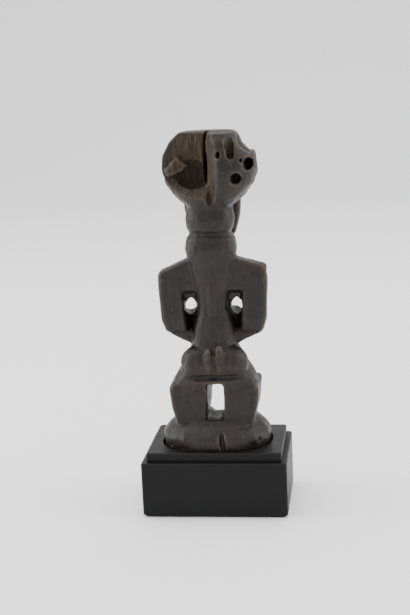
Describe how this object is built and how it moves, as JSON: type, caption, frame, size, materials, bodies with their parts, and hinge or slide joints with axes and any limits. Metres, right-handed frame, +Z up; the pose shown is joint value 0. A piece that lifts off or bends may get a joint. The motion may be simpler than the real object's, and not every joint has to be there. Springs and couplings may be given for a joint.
{
  "type": "wooden statuette",
  "caption": "Dark carved wooden figure with a ringed neck and a broken hollow head, standing in the recess of a black stepped plinth.",
  "frame": {"origin": "centre of the plinth's underside", "axes": "+Z up through the figure, the figure faces -Y, +X to its left hand"},
  "size_m": [0.075, 0.0538, 0.1953],
  "materials": {
    "carved_wood": "dark waxed patina, worn edges, raw broken wood",
    "black_paint": "satin black paint"
  },
  "bodies": {
    "root": {"figure": "carved_wood", "plinth": "black_paint"}
  },
  "joints": []
}
